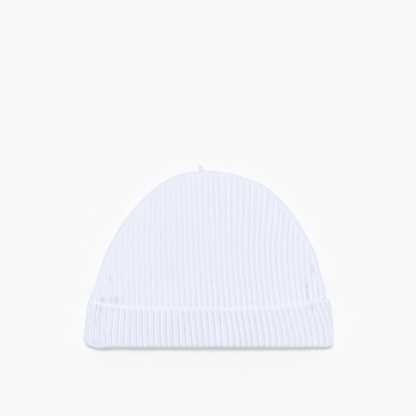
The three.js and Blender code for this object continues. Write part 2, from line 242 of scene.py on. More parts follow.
# %% Dents
CREASE = ("across", "up", "turn", "long", "wide", "depth")  # places as shares, turn in degrees, depth in mm
CROWN_CREASES = (
    (0.870, 0.447, 12, 0.065, 0.009, 0.9),  # the right crease: its right branch
    (0.824, 0.428, -24, 0.080, 0.009, -0.5),  # the ridge that is its left branch
    (0.797, 0.382, -20, 0.030, 0.008, 0.6),  # a line below the ridge
    (0.818, 0.347, -12, 0.038, 0.012, 1.0),  # the pit where they meet
    (0.790, 0.350, -10, 0.030, 0.007, 0.6),
    (0.823, 0.285, 0, 0.055, 0.015, 0.9),  # and down to the cuff
    (0.855, 0.300, 4, 0.060, 0.012, -0.35),
    (0.747, 0.342, 0, 0.060, 0.028, -0.3),
    (-0.871, 0.264, 3, 0.042, 0.024, 1.0),  # tucks above the cuff at the left
    (-0.805, 0.266, 2, 0.042, 0.012, 0.9),
    (-0.758, 0.264, 3, 0.040, 0.020, 1.0),
    (-0.706, 0.262, 0, 0.040, 0.012, 0.7),
    (-0.665, 0.265, 0, 0.026, 0.010, 0.4),
    (-0.854, 0.325, 3, 0.035, 0.010, 0.6),  # short creases over them
    (-0.813, 0.382, 4, 0.050, 0.012, 0.8),
    (-0.781, 0.445, 4, 0.050, 0.012, 0.5),
    (-0.300, 0.600, 30, 0.350, 0.140, 0.35),  # shallow hollows and swells
    (0.600, 0.660, -20, 0.300, 0.120, -0.4),
    (0.150, 0.350, 60, 0.400, 0.120, 0.25),
)
CUFF_CREASES = (
    (0.852, 0.222, 0, 0.034, 0.010, 1.1),  # where the right crease goes over the cuff
    (0.815, 0.223, 4, 0.036, 0.009, 0.6),
    (0.830, 0.165, -10, 0.034, 0.010, 0.5),
    (-0.928, 0.223, -4, 0.040, 0.011, 1.2),  # tucks under its edge at the left
    (-0.889, 0.219, -2, 0.038, 0.015, 1.1),
    (-0.905, 0.160, -14, 0.050, 0.010, 0.7),
    (-0.835, 0.222, 0, 0.030, 0.010, 0.5),
    (-0.785, 0.220, 0, 0.030, 0.010, 0.5),
    (-0.738, 0.207, 0, 0.045, 0.011, 0.4),
    (-0.905, 0.020, 92, 0.060, 0.008, 0.9),  # a fold along the lower left corner
    (-0.930, 0.003, 90, 0.060, 0.010, -0.4),
)
NARROW = 0.025  # dents narrower than this show as a line


def pressed(table, x, y):
    """Depth of a table's dents at a place. Places and lengths are shares of the half width and height."""
    columns = [np.array(column, float).reshape((-1,) + (1,) * np.ndim(x)) for column in zip(*table)]
    across, up, turn, long, wide, depth = columns
    dx = x - across * half_width
    dy = y - up * CROWN_HEIGHT
    turn = np.radians(turn)
    along = (dy * np.cos(turn) - dx * np.sin(turn)) / (long * half_width)
    beside = (dx * np.cos(turn) + dy * np.sin(turn)) / (wide * half_width)
    return (depth * MM * np.exp(-(along**2) - beside**2)).sum(0)


def narrow(table):
    """The rows of a table of dents that are sharp enough to show as a line."""
    return [row for row in table if row[CREASE.index("wide")] < NARROW]


deepest = max(row[CREASE.index("depth")] for row in CROWN_CREASES)
print(len(CROWN_CREASES), "dents in the crown's front, the deepest", deepest, "mm")

# %% Unevenness
WAVES = {
    "across": (17, -11, 29, 6, -23),  # waves across a metre
    "up": (13, 21, -9, 31, 26),
    "start": (0.4, 2.1, 3.3, 5.2, 1.2),
    "height": (0.16, 0.13, 0.09, 0.1, 0.06),
}


def uneven(x, y):
    """Height of the cloth's long waves: a sum of sines that cross each other."""
    rows = [np.array(column, float).reshape((-1,) + (1,) * np.ndim(x)) for column in WAVES.values()]
    across, up, start, height = rows
    return (height * MM * np.sin(2 * np.pi * (across * x + up * y) + start)).sum(0)


# %% [markdown]
# The crown has to know where the cuff's edge runs over it, because it swells up there, and a painted
# highlight
# runs along it: the light line in the photograph is the cuff's rolled edge and the crown's cloth side by
# side, with no dark gap between them. The edge rises toward the cuff's ends, and its ribs lean to the left,
# most at the right end, where the band was pulled round.

# %% The cuff's edge
CUFF_EDGE_POWER = 3
FOLD_LEAN = 0.09  # how far the cuff's ribs lean to the left at the fold, as a slope
EDGE_LEAN = 0.11  # at the middle of its upper edge
EDGE_FAN = 0.17  # and what is added there toward the right end
PUFF = layers - 0.35 * MM  # how far the crown swells up there
PUFF_RISE = (-0.5 * MM, -0.05 * MM)  # above the cuff's edge
PUFF_FALL = (0.5 * MM, 15 * MM)


def cuff_top(share):
    """Height of the cuff's upper edge: it rises toward its ends as share^3."""
    return CUFF_HEIGHT + np.where(share < 0, *CUFF_RISE) * np.abs(share) ** CUFF_EDGE_POWER


def lean(share, height):
    """How far to the left a rib of the cuff has gone at a height: its slope grows steadily up the cuff."""
    more = EDGE_LEAN + EDGE_FAN * share - FOLD_LEAN
    return FOLD_LEAN * height + more * height**2 / (2 * CUFF_HEIGHT)


def cuff_edge(share):
    """Height of the cuff's edge over a share of the crown's width: that of the rib that leans over to it.
    The cuff is wider than the crown by its layers, so the same place is a smaller share of its width."""
    share = share * half_width / (half_width + layers)
    start = share + lean(share, CUFF_HEIGHT) / (HAT_WIDTH / 2)
    return cuff_top(share + lean(start, cuff_top(start)) / (HAT_WIDTH / 2))


def over_edge(x, y):
    """How far up a place of the crown lies from the cuff's edge."""
    return y - cuff_edge(x / np.maximum(outline_x(np.sign(x), y), MM))


def puffed(x, y):
    """The crown's front swells up where it comes out of the cuff, and fills the step of the cuff's edge."""
    return PUFF * band(over_edge(x, y), PUFF_RISE, PUFF_FALL)


print("the crown swells up by", round(PUFF / MM, 2), "mm at the cuff's edge")

# %% Skins of the crown


def front_height(x, y, q, offset):
    """Height of the front's face, moved outward by offset: from the seam up to its level, with its dents."""
    top = front_level + offset + uneven(x, y) + puffed(x, y) - pressed(CROWN_CREASES, x, y)
    low = seam_height(y) + rim_lift
    return low + (top - low) * swell(q, FRONT_SWELL)


def back_height(x, y, q, offset):
    """Height of the back's face, moved outward by offset: from the seam down to what it lies on. The table
    stops it at 0, so the ribs that lie there are pressed flat."""
    low = np.maximum(propped(y, SETTLE_LENGTH) - offset, 0)
    high = seam_height(y) - rim_lift
    return high + (low - high) * swell(q, BACK_SWELL)


def crown_point(x, y, offset, face_height):
    """A point of the crown's skin over (x, y), moved outward by offset."""
    grown = panel_base + (y - panel_base) * (1 + offset / (CROWN_HEIGHT - panel_base))
    wide = x * (1 + offset / half_width) - corner_cut(x, y)
    return np.stack((wide, grown, face_height(x, y, reach(x, y), offset)), -1)


print("the crown's front lies", round(front_level / MM, 2), "mm off the table")

# %% [markdown]
# A rib knit has wide raised ribs of plain stitches with narrow sunken bands of reversed stitches between
# them. Across one rib the relief is a flat groove, a short slope and a slightly crowned top. The first
# column of stitches beside the groove stands up and catches the light, and the columns past it lie a little
# lower. The ribs run straight up the cloth, but the cap was laid by hand, so they sway: all together, fanned
# out, or only at the sides, as a short table by height gives. Near the seam the folded edges under it pull
# the ribs flat.

# %% Ribs
RIB_PITCH = 3.9 * MM
RIB_DEPTH = 0.36 * MM  # on the crown
CUFF_RIB_DEPTH = 0.5 * MM
RIB_CROWN = 0.09 * MM
CREST_SHARE = 0.6  # of it, that the first column of stitches stands up more
GROOVE_SIDE = (0.05, 0.16)  # a groove's slope, from the groove's middle, in ribs
CREST = ((0.09, 0.2), (0.27, 0.4))  # where the raised column starts and ends
HOLLOW = ((0.36, 0.48), (0.62, 0.82))  # and the lower ones past it
WALES = 6  # columns of stitches across one rib and its groove
COURSE = 0.52 * MM  # height of one row of stitches
rib_count = round(2 * half_width / RIB_PITCH)
COLUMN_PLACES = np.array((0, 0.05, 0.1, 0.15, 0.21, 0.28, 0.36, 0.43, 0.55, 0.7, 0.85, 0.9, 0.95))
RIBS_PARALLEL_FROM = 0.28
SWAY = {
    "up": (0, 0.27, 0.375, 0.5, 0.58, 0.75, 0.9, 1),
    "shift": (0, 0, -0.0115, -0.022, -0.026, -0.035, -0.044, -0.048),
    "fan": (0, 0, -0.014, -0.024, -0.022, -0.006, 0.008, 0.012),
    "sides": (0, 0, 0, -0.004, 0, 0.11, 0.2, 0.22),
}
WANDER = {
    "rib": (23, 41),  # how fast it changes from rib to rib, and up a rib for each metre
    "up": (70, -130),
    "start": (0, 2),
    "size": (0.0014, 0.001),
}


def groove(place):
    """1 in the groove and 0 on the rib, for a place counted in ribs whose whole numbers are grooves."""
    aside = np.abs(place - np.round(place))
    return 1 - eased(aside, *GROOVE_SIDE)


def crest(place):
    """1 along the first column of stitches after a groove, where the rib stands up, and 0 elsewhere."""
    return band(place - np.floor(place), *CREST)


def hollow(place):
    """1 over the columns of stitches that lie a little lower, between the crest and the next groove."""
    return band(place - np.floor(place), *HOLLOW)


def rib_relief(place, depth):
    """Height of the rib's relief: sunken grooves, and tops crowned as 1 - (distance from the middle)^2."""
    aside = 1 - 2 * np.abs(place - np.round(place))
    return RIB_CROWN * (1 - aside**2 + CREST_SHARE * crest(place)) - depth * groove(place)


def rib_x(rib, y):
    """Where a rib's path lies at a height. rib runs from -1 at the left seam to 1 at the right one."""
    level = np.minimum(y, RIBS_PARALLEL_FROM * CROWN_HEIGHT)
    width = np.where(rib < 0, outline_x(-1, level), outline_x(1, level))
    shift, fan, sides = (read(SWAY, column, y / CROWN_HEIGHT) for column in ("shift", "fan", "sides"))
    rows = zip(*WANDER.values())
    wander = sum(size * np.sin(rib * across + y * up + start) for across, up, start, size in rows)
    wander = wander * eased(y, level.max(), 2 * level.max())
    return rib * width + (shift + wander + (1 - rib**2) * (fan * rib + sides * rib**2)) * half_width


def rib_columns(count):
    """Places of the columns of points, in ribs: closer together on a groove's slopes than on a rib's top."""
    return (np.arange(count)[:, None] + COLUMN_PLACES).ravel()


print(rib_count, "ribs across a panel,", len(COLUMN_PLACES), "columns of points on each")

# %% [markdown]
# Every piece of cloth becomes one closed mesh. Its outer and inner skins are grids of points, and quads
# join each point to its neighbours. The helper keeps three things on the points for the finish: a map that
# counts the stitches across and up, how much painted shade the point gets and how much painted highlight.
# At the end the faces are turned to point outward.

# %% Meshes from grids


def grid_quads(index):
    """The quads of a grid of point numbers."""
    corners = (index[:-1, :-1], index[:-1, 1:], index[1:, 1:], index[1:, :-1])
    return np.stack(corners, -1).reshape(-1, 4)


def placed(points):
    """Points of the cap's own measures, moved to the frame's place."""
    return points.reshape(-1, 3) + np.array((middle_x, fold_y, 0))


def make_piece(name, points, faces, stitches, painted_shade, painted_highlight):
    """A smooth closed mesh with a stitch map, and on every point its painted shade and painted highlight, 0
    to 1.
    """
    mesh = bpy.data.meshes.new(name)
    mesh.from_pydata(placed(points).tolist(), [], faces)
    corner_points = np.empty(len(mesh.loops), np.int32)
    mesh.loops.foreach_get("vertex_index", corner_points)
    layer = mesh.uv_layers.new(name="stitches")
    layer.data.foreach_set("uv", stitches.reshape(-1, 2)[corner_points].ravel())
    for label, values in (("painted_shade", painted_shade), ("painted_highlight", painted_highlight)):
        mesh.attributes.new(label, "FLOAT", "POINT").data.foreach_set("value", values.ravel())
    shell = bmesh.new()
    shell.from_mesh(mesh)
    bmesh.ops.recalc_face_normals(shell, faces=shell.faces)
    shell.to_mesh(mesh)
    shell.free()
    mesh.polygons.foreach_set("use_smooth", np.ones(len(mesh.polygons), bool))
    piece = bpy.data.objects.new(name, mesh)
    bpy.context.scene.collection.objects.link(piece)
    print(name, len(mesh.vertices), "points,", len(mesh.polygons), "faces")
    return piece


# %% [markdown]
# A panel of the crown is a sheet with a thickness. Its grid has a column of points for each place across
# the ribs, and rows that run from the brim to where that column meets the seam, closer together near the
# seam. The plain inner skin needs fewer points, so it takes every fourth column and row. Round the border
# a half-round roll joins the two skins: it is the edge that the seam pulls in, and it meets the other
# panel's roll with a thin line between them.

# %% Panels of the crown
PANEL_ROWS = (14, 15, 94)  # inside the cuff, at its edge, and from there to the seam
INNER_STEP = 4
ROLL_STEPS = 5
BRIM_PULL = 0.1 * MM  # how round the panel's lower edge is
SEAM_FLAT = (1.4 * MM, 3.8 * MM)  # ribs start this far from the edge, and are at full depth from here
SEAM_RIDGE = 0.22 * MM
RIDGE_INSIDE = (1.7, 4.3)  # mm from the outline to the ridge and to the dip
RIDGE_WIDTH = 1.1
DIP_SHARE = 0.7  # of the ridge's height
EDGE_ROWS = (0.8 * MM, 0.4 * MM)  # how far the close rows at the cuff's edge reach under it and past it
ROWS_CROWD = 1.4  # how much the rows crowd toward the seam


def seam_relief(x, y):
    """Along the seam the folded edges lift the cloth a little, and beyond them it dips."""
    inside = edge_distance(x, y) / MM
    ridge, dip = (np.exp(-(((inside - at) / RIDGE_WIDTH) ** 2)) for at in RIDGE_INSIDE)
    return SEAM_RIDGE * (ridge - DIP_SHARE * dip)


def panel_grid(columns, turned):
    """x and y of a panel's points: each column runs up its rib's path to the seam."""
    rib = turned * (2 * columns / rib_count - 1)
    parallel = RIBS_PARALLEL_FROM * CROWN_HEIGHT
    low = np.full(rib.shape, 0.98 * parallel)
    tops = crossing(lambda y: reach(rib_x(rib, y), y), low, 1.05 * CROWN_HEIGHT)
    below = np.minimum(cuff_edge(rib) - EDGE_ROWS[0], panel_base + 0.6 * (tops - panel_base))
    above = np.minimum(cuff_edge(rib) + EDGE_ROWS[1], panel_base + 0.85 * (tops - panel_base))
    hidden, edge, shown = (np.linspace(0, 1, rows)[:, None] for rows in PANEL_ROWS)
    heights = (
        panel_base + (below - panel_base) * hidden[:-1],
        below + (above - below) * edge[:-1],
        above + (tops - above) * (1 - (1 - shown) ** ROWS_CROWD),
    )
    y = np.concatenate(heights)
    return rib_x(np.broadcast_to(rib, y.shape), y), y


# %% [markdown]
# The relief alone would leave the ribs too faint in such even light, so each point also carries two painted
# tones, which the finish turns into a little less or a little more white: painted shade in the grooves, on
# the lower stitch columns and in creases, and painted highlight on the crests, dent ridges and the cuff's
# edge.

# %% Painted shade and highlight of the crown
SLACK = (30 * MM, 55 * MM)  # the ribs stand up more below this stretch, near the cuff
SLACK_GAIN = 0.4
DEPTH_WAVE = (0.15, 90, 75)  # how uneven their depth is, and radians for each metre across and up
CROWN_TONE = 0.5  # how strongly the crown's painted rib shade and highlight show beside the cuff's
# painted shade in the groove and on the lower columns, and painted highlight on the crest
GROOVE_TONE, HOLLOW_TONE, CREST_TONE = 0.95, 0.3, 1.7
PIT_TONE, RIDGE_TONE, LIP_TONE = 1.1, 0.95, 0.5  # painted shade in dents, painted highlight on ridges and along the cuff's edge
PIT_DEPTH = (0.15, 0.9)  # mm, where a dent's painted shade starts to show and shows in full
RIDGE_HEIGHT = (0.1, 0.45)
LIP = ((-0.6 * MM, 0.1 * MM), (0.5 * MM, 1.6 * MM))
RIGHT_FADE = (0.3, 0.8)  # the painted rib shade and highlight are weaker toward the right, by a share of the half width
CROWN_FADE = 0.4


def rib_depth(x, y):
    """Depth of the crown's grooves: more near the cuff, and a little uneven, as sin x sin y."""
    share, across, up = DEPTH_WAVE
    waves = share * np.sin(x * across + 1) * np.sin(y * up)
    return RIB_DEPTH * (1 + SLACK_GAIN * (1 - eased(y, *SLACK)) + waves)


def crown_tones(place, x, y, flat, has_dents):
    """How much painted shade and painted highlight a point gets: by its place on the rib, the dents and the
    cuff's edge.
    """
    dents = pressed(narrow(CROWN_CREASES), x, y) / MM if has_dents else 0 * x
    ridge = eased(-dents, *RIDGE_HEIGHT)
    lip = LIP_TONE * band(over_edge(x, y), *LIP)
    tone = CROWN_TONE * flat * rib_depth(x, y) / RIB_DEPTH
    tone = tone * (1 - CROWN_FADE * eased(x / half_width, *RIGHT_FADE))
    # painted shade in the groove, on the lower columns and in the dents; painted highlight on the crest, the
    # dents' ridges and along the cuff's edge
    shade = tone * (GROOVE_TONE * groove(place) + HOLLOW_TONE * hollow(place))
    painted_shade = np.maximum(shade, PIT_TONE * eased(dents, *PIT_DEPTH)) * (1 - lip) * (1 - ridge)
    painted_highlight = np.maximum(CREST_TONE * tone * crest(place), np.maximum(lip, RIDGE_TONE * ridge))
    return painted_shade, painted_highlight


# %% Build the two panels


def border(index):
    """The point numbers round a grid's border, along the first row and back down the first column."""
    return np.concatenate((index[0, :-1], index[:-1, -1], index[-1, :0:-1], index[:0:-1, 0]))


def border_roll(outer, inner, pull):
    """Half round from the outer skin's border to the inner one's: the middle plus cosine and sine parts."""
    turns = np.pi * np.arange(1, ROLL_STEPS) / ROLL_STEPS
    cosine, sine = np.cos(turns)[:, None, None], np.sin(turns)[:, None, None]
    return (outer + inner) / 2 + (outer - inner) / 2 * cosine + pull * sine


def make_panel(name, face_height, turned):
    """One panel: ribbed outer skin, plain inner skin, and the rolled border between them."""
    columns = np.append(rib_columns(rib_count), rib_count)
    x, y = panel_grid(columns, turned)
    flat = eased(edge_distance(x, y), *SEAM_FLAT)
    place = np.broadcast_to(columns, x.shape)
    relief = rib_relief(place, rib_depth(x, y)) * flat + seam_relief(x, y)
    outer = crown_point(x, y, relief, face_height)
    inner = crown_point(x, y, -PANEL_WALL, face_height)
    stitches = np.stack((place * WALES, y / COURSE), -1)
    painted_shade, painted_highlight = crown_tones(place, x, y, flat, turned > 0)

    count = x.size
    index = np.arange(count).reshape(x.shape)
    edge = border(index)
    pull = np.zeros((len(edge), 3))
    pull[:, 2] = -turned * PANEL_WALL / 2
    pull[1 : x.shape[1] - 1] = (0, -BRIM_PULL, 0)
    rolled = border_roll(outer.reshape(-1, 3)[edge], inner.reshape(-1, 3)[edge], pull)
    coarse = np.s_[::INNER_STEP, ::INNER_STEP]
    points = np.concatenate((outer.reshape(-1, 3), rolled.reshape(-1, 3), inner[coarse].reshape(-1, 3)))
    edge_stitches = np.tile(stitches.reshape(-1, 2)[edge], (ROLL_STEPS - 1, 1))
    maps = np.concatenate((stitches.reshape(-1, 2), edge_stitches, stitches[coarse].reshape(-1, 2)))
    plain = np.zeros(rolled.shape[0] * rolled.shape[1] + x[coarse].size)
    painted_shade, painted_highlight = np.append(painted_shade, plain), np.append(painted_highlight, plain)

    rings = np.vstack((edge, count + np.arange(rolled.shape[0] * rolled.shape[1]).reshape(rolled.shape[:2])))
    rings = np.hstack((rings, rings[:, :1]))
    inner_index = rings.max() + 1 + np.arange(inner[coarse][..., 0].size).reshape(inner[coarse].shape[:2])
    inner_edge = border(inner_index)
    inner_edge = np.append(inner_edge, inner_edge[0])
    last = rings[-1]
    joins = [
        [*last[k * INNER_STEP : (k + 1) * INNER_STEP + 1], inner_edge[k + 1], inner_edge[k]]
        for k in range(len(inner_edge) - 1)
    ]
    outside, rolls, inside = (grid_quads(grid).tolist() for grid in (index, rings, inner_index))
    return make_piece(name, points, outside + rolls + joins + inside, maps, painted_shade, painted_highlight)


crown_front = make_panel("crown_front", front_height, 1)
crown_back = make_panel("crown_back", back_height, -1)

# %% [markdown]
# The cuff is the cap's own cloth, doubled and turned up round the brim. It is worked out as one section
# carried round the brim's loop: from the tuck inside the cap, round the fold, up the outside, over the
# rolled upper edge and down behind. Its ribs lean, more and more to the right end, where the band was
# pulled round, so each point is moved along the loop as it goes up.

# %% The brim's loop
LOOP_STEPS = 420
CUFF_RIB_PITCH = 4.13 * MM
CUFF_PINCH = 1.1 * MM  # how much thinner its cloth is pressed at its upper left corner
PINCH_ENDS = (0.8, 0.98)  # between these shares of the half width
PINCH_BELOW = (9 * MM, 1 * MM)  # and these heights under its edge
SAGS = {"across": (-0.9, 0.97), "wide": (0.06, 0.04), "drop": (0.35, 0.12)}


def loop_point(share, front, y, offset):
    """A point of the brim's loop. share runs from tip to tip, and front is 1 over the cap and 0 under it."""
    level = np.maximum(y, 0)
    width = np.where(share < 0, outline_x(-1, level), outline_x(1, level))
    x = share * width
    q = reach(x, level)
    fold = np.maximum(0, 1 - y / fold_radius)
    rows = zip(*SAGS.values())
    sag = sum(drop * np.exp(-(((share - across) / wide) ** 2)) for across, wide, drop in rows)
    low, high = back_height(x, y, q, offset), cuff_front_height(x, y, q, offset)
    wide = x * (1 + offset / half_width) - corner_cut(x, y)
    return np.stack((wide, y - sag * fold_radius * fold, low + (high - low) * front), -1)


def cuff_front_height(x, y, q, offset):
    """Height of the front's face inside the cuff, which has none of the crown's dents."""
    low = seam_height(y) + rim_lift
    return low + (front_level + offset + uneven(x, y) - low) * swell(q, FRONT_SWELL)


def pinch(share, height):
    """How far the cuff's face is pressed in toward its upper left corner."""
    top = cuff_top(share)
    return CUFF_PINCH * eased(-share, *PINCH_ENDS) * eased(height, *(top - below for below in PINCH_BELOW))


turn = np.linspace(0, np.pi, LOOP_STEPS + 1)
loop_share = np.concatenate((-np.cos(turn), np.cos(turn), (-1,)))
loop_front = np.concatenate((np.ones(LOOP_STEPS + 1), np.zeros(LOOP_STEPS + 1), (1,)))
loop_points = loop_point(loop_share, loop_front, np.full(loop_share.shape, CUFF_HEIGHT / 2), layers)
loop_steps = np.linalg.norm(np.diff(loop_points, axis=0), axis=1)
loop_length = np.concatenate(((0,), np.cumsum(loop_steps)))
brim_length = loop_length[-1]
cuff_ribs = round(brim_length / CUFF_RIB_PITCH)
print("round the cuff:", round(brim_length / MM), "mm of cloth with", cuff_ribs, "ribs")

# %% The cuff's section
EDGE_RADIUS = cuff_wall / 2
ROLL_POWER = 0.6  # 1 is a round edge, and less is a squarer one
FACE_ROWS = 34
TUCK = 1.7 * MM
TUCK_SIDE = 0.05 * MM  # how far outside the crown's face its outer side lies
TUCK_ROUND = (0.3 * MM, 0.1 * MM)  # its upper edge, rounded by this much inward and up
CUFF_BULGE = 0.35 * MM
SWING = 0.25 * MM  # the ribs' small sway, as a sine
SWING_PACE = (0.19, 0.11)  # radians for each mm along the band and up it
ENDS = (0.95, 0.99)  # the ribs are pulled nearly flat at the band's two ends
END_LOSS = 0.8


def section():
    """The cuff's section, from the fold over the face and the roll to the back, and the tuck inside the cap.
    Its rows are (offset from the crown, part of the band's height, height added, share of the ribs)."""
    fold = np.radians(np.linspace(0, 180, 15))
    centre = (layers - PANEL_WALL) / 2
    fold_rows = [(centre - fold_radius * np.cos(a), 0, fold_radius * (1 - np.sin(a)), 1) for a in fold]
    face = np.linspace(0, 1, FACE_ROWS)[1:]
    face_rows = [(layers + CUFF_BULGE * np.sin(np.pi * v) ** 0.8, v, 0, 1) for v in face]
    roll = np.radians(np.linspace(0, 179.9, 13))[1:]
    back = layers - EDGE_RADIUS
    across, up = np.sign(np.cos(roll)) * np.abs(np.cos(roll)) ** ROLL_POWER, np.sin(roll) ** ROLL_POWER
    roll_rows = [(back + EDGE_RADIUS * c, 1, EDGE_RADIUS * v, 0.5 + 0.5 * c) for c, v in zip(across, up)]
    behind_rows = [(LAYER_GAP, v, 0, 0) for v in (0.8, 0.6, 0.4, 0.2, 0.1, 0)]
    round_in, round_up = TUCK_ROUND
    tuck_rows = [(TUCK_SIDE, 0, 0, 0), (TUCK_SIDE, 0, TUCK, 0), (-round_in, 0, TUCK + round_up, 0)]
    inside_rows = [(round_in - PANEL_WALL, 0, TUCK + round_up, 0), (-PANEL_WALL, 0, TUCK, 0.6)]
    middle_row = [(-PANEL_WALL, 0, TUCK / 2, 0.8)]
    rows = fold_rows + face_rows + roll_rows + behind_rows + tuck_rows + inside_rows + middle_row
    return np.array(rows)


offsets, parts, added, ribbed = (column[:, None] for column in section().T)
start = rib_columns(cuff_ribs) / cuff_ribs * brim_length
share_at_start = np.interp(start, loop_length, loop_share)
edge_base = cuff_top(share_at_start) - EDGE_RADIUS
is_fold = (parts == 0) & (added < fold_radius) & (ribbed == 1)
heights = np.where(is_fold, added, fold_radius + parts * (edge_base - fold_radius) + added)
shifted = start - lean(share_at_start, heights)
shifted += SWING * np.sin(start / MM * SWING_PACE[0] + heights / MM * SWING_PACE[1])
around = np.mod(shifted, brim_length)
share = np.interp(around, loop_length, loop_share)
front = np.interp(around, loop_length, loop_front)
place = np.broadcast_to(rib_columns(cuff_ribs), shifted.shape)
end_flat = 1 - END_LOSS * eased(np.abs(share), *ENDS)
relief = rib_relief(place, CUFF_RIB_DEPTH) * ribbed * end_flat
on_face = (ribbed > 0.9) & (front > 0.5) & (offsets > 0)
cuff_dents = np.where(on_face, pressed(CUFF_CREASES, share * half_width, heights), 0)
relief = relief - cuff_dents
pressed_in = np.where(offsets > LAYER_GAP, pinch(share_at_start, heights), 0)
cuff_points = loop_point(share, front, heights, np.maximum(offsets + relief - pressed_in, -PANEL_WALL))
print("cuff grid", cuff_points.shape)

# %% Close the cuff's grid


def ring_quads(rows, columns):
    """The quads of a grid that closes on itself both ways."""
    index = np.arange(rows * columns).reshape(rows, columns)
    index = np.vstack((index, index[:1]))
    return grid_quads(np.hstack((index, index[:, :1])))


section_steps = np.linalg.norm(np.diff(cuff_points[:, 0], axis=0), axis=1)
section_length = np.concatenate(((0,), np.cumsum(section_steps)))[:, None]
cuff_stitches = np.stack((place * WALES, np.broadcast_to(section_length / COURSE, place.shape)), -1)

# %% Painted shade and highlight of the cuff
CUFF_FADE = 0.55
# painted shade in the grooves and on the lower columns, and painted highlight on the crests
CUFF_GROOVE_TONE, CUFF_HOLLOW_TONE, CUFF_CREST_TONE = 1.05, 0.25, 1.15
# painted shade in the dents and painted highlight on their ridges
CUFF_PIT_TONE, CUFF_RIDGE_TONE = 1.3, 0.6
CUFF_RIDGE_HEIGHT = (0.1, 0.4)  # mm, where a ridge's painted highlight starts to show and shows in full
CUFF_LIP = (-1.2 * MM, 0.1 * MM)  # the painted highlight along its edge, from the height where its roll starts

# The cuff's painted shade goes in its grooves and dents, and its painted highlight on the crests, the ridges
# and along the rolled edge.
tone = (1 - CUFF_FADE * eased(share, *RIGHT_FADE)) * ribbed * end_flat
shade = tone * (CUFF_GROOVE_TONE * groove(place) + CUFF_HOLLOW_TONE * hollow(place))
lip = eased(heights, edge_base + CUFF_LIP[0], edge_base + CUFF_LIP[1]) * (offsets > LAYER_GAP)
cuff_painted_shade = np.maximum(shade, CUFF_PIT_TONE * eased(cuff_dents / MM, *PIT_DEPTH)) * (1 - lip)
cuff_painted_highlight = np.maximum(CUFF_CREST_TONE * tone * crest(place), LIP_TONE * lip)
cuff_painted_highlight = np.maximum(cuff_painted_highlight, CUFF_RIDGE_TONE * eased(-cuff_dents / MM, *CUFF_RIDGE_HEIGHT))
cuff_faces = ring_quads(*place.shape).tolist()
turned_cuff = make_piece("turned_cuff", cuff_points, cuff_faces, cuff_stitches, cuff_painted_shade, cuff_painted_highlight)

# %% [markdown]
# Inside the cap the two cut edges stand in along the seam, bound by an overlock stitch. The allowance is a
# flat strip that follows the outline, and the thread is a tube wound round its free edge, one turn for
# each stitch. Little of it shows, through the brim, but it is what closes the crown.

# %% Seam allowance
ALLOWANCE = (1.8 * MM, 4.7 * MM)  # from the outline to its two sides
ALLOWANCE_STEPS = 260
ALLOWANCE_WAVE = (0.18 * MM, 61)  # how far its inner side waves, and how many waves, in radians
ALLOWANCE_FLAT = 0.86  # its thickness, as a share of the solid's
ALLOWANCE_MAP = (0.67 * MM, 190)  # a stitch's width across it, and rows for each radian along it
REACH_ROOT = 0.47  # about this power of reach is the way out, as a share of the way to the outline
STITCH_LENGTH = 2.3 * MM
THREAD = 0.32 * MM
BINDING = (3.7 * MM, 1.35 * MM, 0.62 * MM)  # its middle inside the outline, half its width, half its height
BINDING_STEPS = 12  # for each stitch
BINDING_SIDES = 6
BINDING_SPAN = (0.004, 0.996)  # of the seam's length
BINDING_TWIST = 900  # radians of the thread's twist along it


def outline_point(angle, inward, lift):
    """A point inside the outline, for an angle from 0 at the right to pi at the left."""
    cosine, sine = np.cos(angle), np.sin(angle)
    power = np.where(cosine < 0, *TOP_POWER)
    x = np.sign(cosine) * np.abs(cosine) ** (2 / SIDE_POWER) * half_width
    y = sine ** (2 / power) * CROWN_HEIGHT
    out = reach(x, y) ** REACH_ROOT
    x, y = x / out, y / out
    across = x * (1 - inward / half_width) - corner_cut(x, y)
    up = panel_base + (y - panel_base) * (1 - inward / (CROWN_HEIGHT - panel_base))
    return np.stack((across, up, seam_height(y) + lift), -1)


def seam_angles(steps):
    """Angles from the left brim over the crown's top to the right brim."""
    left, right = (np.arcsin((panel_base / CROWN_HEIGHT) ** (power / 2)) for power in TOP_POWER)
    return np.linspace(np.pi - left, right, steps)


def make_allowance():
    """The strip: a flat rounded section carried along the outline, with closed ends."""
    angle = seam_angles(ALLOWANCE_STEPS)[:, None]
    around = np.linspace(0, 2 * np.pi, 17)[:-1]
    middle, half = sum(ALLOWANCE) / 2, (ALLOWANCE[1] - ALLOWANCE[0]) / 2
    rounded = np.sign(np.cos(around)) * np.abs(np.cos(around)) ** 0.4
    wave = ALLOWANCE_WAVE[0] * np.sin(angle * ALLOWANCE_WAVE[1]) * (rounded > 0)
    inward = middle + half * rounded + wave
    lift = SEAM_THICKNESS / 2 * ALLOWANCE_FLAT * np.sign(np.sin(around)) * np.abs(np.sin(around)) ** 0.7
    points = outline_point(angle, inward, lift + 0 * angle)
    index = np.arange(points[..., 0].size).reshape(points.shape[:2])
    faces = grid_quads(np.hstack((index, index[:, :1]))).tolist() + [index[0].tolist(), index[-1].tolist()]
    stitches = np.stack((inward / ALLOWANCE_MAP[0], angle * ALLOWANCE_MAP[1] + 0 * inward), -1)
    plain = np.zeros(inward.shape)
    return make_piece("seam_allowance", points, faces, stitches, plain, plain)


def tube(path, radius, sides):
    """A tube along a path: at each point a ring in the plane of two arrows square to the path."""
    ahead = np.gradient(path, axis=0)
    ahead /= np.linalg.norm(ahead, axis=1, keepdims=True)
    aside = np.cross(ahead, (0, 0, 1))
    short = np.linalg.norm(aside, axis=1, keepdims=True) < 0.05
    aside = np.where(short, np.cross(ahead, (0, 1, 0)), aside)
    aside /= np.linalg.norm(aside, axis=1, keepdims=True)
    above = np.cross(aside, ahead)
    around = np.linspace(0, 2 * np.pi, sides + 1)[:-1]
    ring = aside[:, None] * np.cos(around)[:, None] + above[:, None] * np.sin(around)[:, None]
    points = path[:, None] + ring * np.broadcast_to(radius, (len(path), sides))[..., None]
    index = np.arange(points[..., 0].size).reshape(points.shape[:2])
    faces = grid_quads(np.hstack((index, index[:, :1]))).tolist() + [index[0].tolist(), index[-1].tolist()]
    return points, faces


